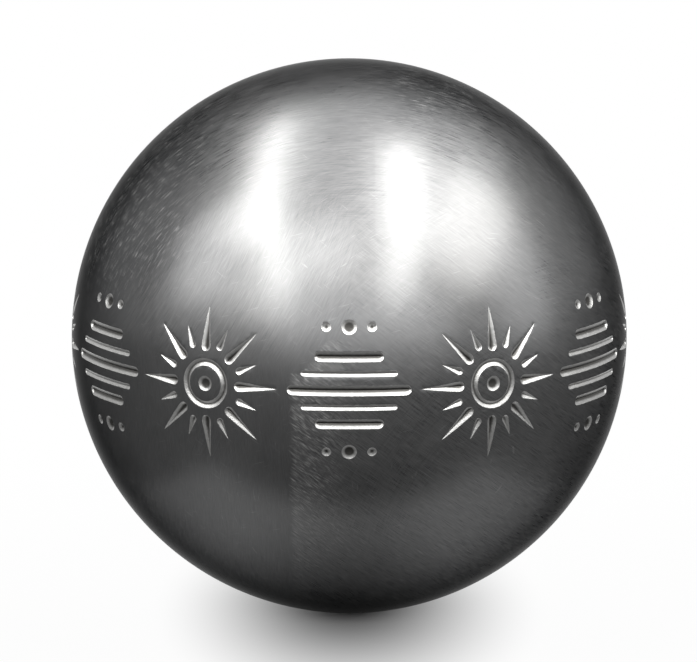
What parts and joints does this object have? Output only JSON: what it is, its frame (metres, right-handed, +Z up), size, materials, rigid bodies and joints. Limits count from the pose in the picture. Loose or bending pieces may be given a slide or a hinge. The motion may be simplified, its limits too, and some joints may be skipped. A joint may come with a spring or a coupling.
{
  "type": "petanque boule",
  "caption": "Hollow steel throwing ball with a satin surface and an engraved belt of sun rosettes and sets of bars round its middle.",
  "frame": {"origin": "centre of the ball", "axes": "+Z up through the middle of the engraved belt's ring, +Y away from the picture's camera, +X along the axis that the weld runs round"},
  "size_m": [0.074, 0.074, 0.074],
  "materials": {
    "shell_steel": "satin, ground and hand polished, with fine scratches",
    "weld_steel": "satin, dressed flush with the shells"
  },
  "bodies": {
    "root": {"left_half_shell": "shell_steel", "right_half_shell": "shell_steel", "weld_bead": "weld_steel"}
  },
  "joints": []
}
